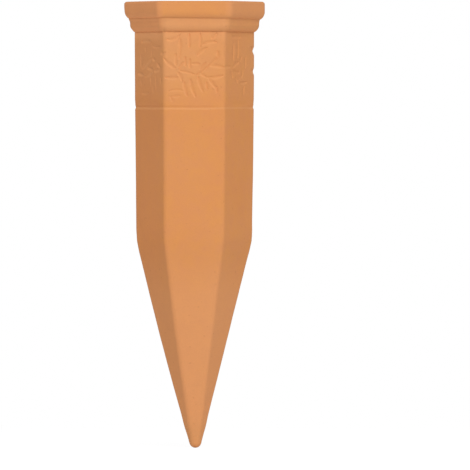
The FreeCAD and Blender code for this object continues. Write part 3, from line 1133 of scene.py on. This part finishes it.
def terracotta():
    """Material of fired, unglazed clay: layers of colour over two tints, then tone, gloss and bump."""
    material = bpy.data.materials.new("terracotta")
    clay = Recipe(material)
    place = clay.node("ShaderNodeTexCoord", output=3)
    shifted = clay.node("ShaderNodeVectorMath", {"operation": "ADD"}, {0: place, 1: kiln_shift})
    kiln = clay.noise(shifted, size=0.034)
    mottle = clay.noise(place, size=0.0045, detail=3.0, roughness=0.6)
    grain = clay.noise(place, size=0.0006, detail=4.0, roughness=0.65)
    speck = clay.between(clay.noise(place, size=0.0011, detail=1.0), *speck_edge)
    pore = clay.between(clay.noise(place, size=0.0008), *pore_edge)

    at = Places(clay, place)
    layers = [
        (clay.between(mottle, *cloud_edge) * 0.5, (1.0, 1.01, 0.78)),
        *kiln_and_painted_light_layers(at, kiln),
        *painted_light_layers(clay, at),
        (speck * 0.22, (0.60, 0.48, 0.50)),
        *wear_and_crease_layers(clay),
    ]
    redder, yellower = tinted(1.02, 0.97, 0.98), tinted(1.0, 0.995, 1.08)
    colour = clay.blended(clay.between(kiln, *cloud_edge), redder, yellower)
    for share, tint in layers:
        colour = clay.blended(share, colour, tinted(*tint))

    height_map = grain * 0.55 + mottle * 0.5 - pore * 0.8
    bump = {"Strength": 0.35, "Distance": bump_distance, "Height": height_map}
    shader = clay.node("ShaderNodeBsdfPrincipled", None, {
        "Base Color": clay.scaled(colour, 1 + mottle * 0.07 + grain * 0.10 + kiln * 0.04),
        "Roughness": 0.86 + grain * 0.12 + mottle * 0.06,
        "Specular IOR Level": 0.18,
        "Normal": clay.node("ShaderNodeBump", None, bump),
    })
    clay.node("ShaderNodeOutputMaterial", None, {"Surface": shader})
    print("terracotta has", len(layers), "layers of colour and", len(clay.tree.nodes), "nodes")
    return material


# %% [markdown]
# Each piece now gets the finish, rides on the one body of the object, and is shown in place of the CAD
# section that it was made from. That section stays in the frame for collisions, but isn't shown.

# %% Dress the sections
fired_clay = terracotta()

for node in ("top_rim", "lower_rim", "leaf_band", "spike_body"):
    piece = pieces[node + "_clay"]
    piece.data.materials.append(fired_clay)
    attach(piece, "root")
    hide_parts(node)
print("dressed:", ", ".join(pieces))

# %% [markdown]
# The spike is shown against white. The white is only for the camera and for what is mirrored: Light Path
# tells these rays from the ones that light the clay, so the background can be pure white without more
# light on the object.

# %% World
world_strength = 0.38


def seen_directly(recipe):
    """1 for rays from the camera and for mirrored and transmitted ones, 0 for rays that carry light."""
    names = ("Is Camera Ray", "Is Glossy Ray", "Is Transmission Ray")
    camera_ray, glossy, transmitted = (recipe.node("ShaderNodeLightPath", output=name) for name in names)
    summed = {0: camera_ray + glossy, 1: transmitted}
    return recipe.node("ShaderNodeMath", {"operation": "ADD", "use_clamp": True}, summed)


def make_world():
    """White where it is seen, and a dimmer even light from all round."""
    world = bpy.data.worlds.new("studio")
    bpy.context.scene.world = world
    sky = Recipe(world)
    strength = world_strength + seen_directly(sky) * (1 - world_strength)
    background = sky.node("ShaderNodeBackground", None, {"Color": (1, 1, 1, 1), "Strength": strength})
    sky.node("ShaderNodeOutputWorld", None, {"Surface": background})


make_world()
print("world strength for the light on the clay:", world_strength)

# %% [markdown]
# The tip touches a pale floor. Most of the floor's brightness is also only for the camera, and the rest
# keeps a soft shadow and throws light up at the undersides of the rolls and at the taper. Seen from below
# it lets the view through, so that the tip can be looked at from there.

# %% Floor
floor_half = 0.6
floor_drop = 0.00002
floor_colour = (0.95, 0.95, 0.95, 1.0)
floor_white_share = 0.8
floor_glow = 1.135


def make_floor():
    """Square floor at the tip's lowest point: a pale diffuse face, mostly white where it is seen."""
    corner = np.array([(-1, -1), (1, -1), (1, 1), (-1, 1)]) * floor_half
    mesh = bpy.data.meshes.new("floor")
    mesh.from_pydata([(x, y, cad_low.z - floor_drop) for x, y in corner.tolist()], [], [(0, 1, 2, 3)])
    floor = placed("floor", mesh)
    material = bpy.data.materials.new("floor")
    paint = Recipe(material)
    pale = paint.node("ShaderNodeBsdfDiffuse", None, {"Color": floor_colour})
    white = paint.node("ShaderNodeEmission", None, {"Color": (1, 1, 1, 1), "Strength": floor_glow})
    clear = paint.node("ShaderNodeBsdfTransparent")
    share = seen_directly(paint) * floor_white_share
    above = paint.node("ShaderNodeMixShader", None, {0: share, 1: pale, 2: white})
    below = paint.node("ShaderNodeNewGeometry", output="Backfacing")
    surface = paint.node("ShaderNodeMixShader", None, {0: below, 1: above, 2: clear})
    paint.node("ShaderNodeOutputMaterial", None, {"Surface": surface})
    mesh.materials.append(material)


make_floor()
print("floor at", cad_low.z, "m,", 2 * floor_half, "m wide")

# %% [markdown]
# In the photograph the front face is the brightest, the right one a sixth darker and a little cooler, and
# the left one three tenths darker. That is a large soft lamp in front and above, a little to the right,
# over an even light from all round, and a weak cool light from the right. A lamp's power is worked out
# from the light that it should bring: a small area lamp of P watts gives P / (pi d^2) on a surface that
# faces it at the distance d, and a white matt surface then shows that over pi.

# %% Lamps
lamp_aim = Vector((0, 0, cad_high.z / 2))
lamp_distance = 1.4
lamp_width = 0.7


def make_lamp(name, azimuth, elevation, brightness, colour):
    """Square area lamp that faces the middle of the spike.

    Azimuth is measured from the front towards the right, and both angles are in degrees. Brightness is what
    a white matt surface that faces the lamp shows of it.
    """
    data = bpy.data.lights.new(name, "AREA")
    data.shape = "SQUARE"
    data.size = lamp_width
    data.energy = brightness * math.pi ** 2 * lamp_distance ** 2
    data.color = colour
    lamp = placed(name, data)
    side, up = math.radians(azimuth), math.radians(elevation)
    towards = Vector((math.sin(side) * math.cos(up), -math.cos(side) * math.cos(up), math.sin(up)))
    lamp.location = lamp_aim + towards * lamp_distance
    lamp.rotation_euler = towards.to_track_quat("Z", "Y").to_euler()
    lamp.visible_camera = False
    print(name, "lamp of", round(data.energy, 1), "watts at", lamp_distance, "m")


make_lamp("key", azimuth=5, elevation=31, brightness=0.56, colour=(1.0, 1.0, 1.0))
make_lamp("side", azimuth=80, elevation=10, brightness=0.05, colour=(0.85, 1.0, 1.25))
bpy.context.scene.view_settings.view_transform = "Standard"

# %% [markdown]
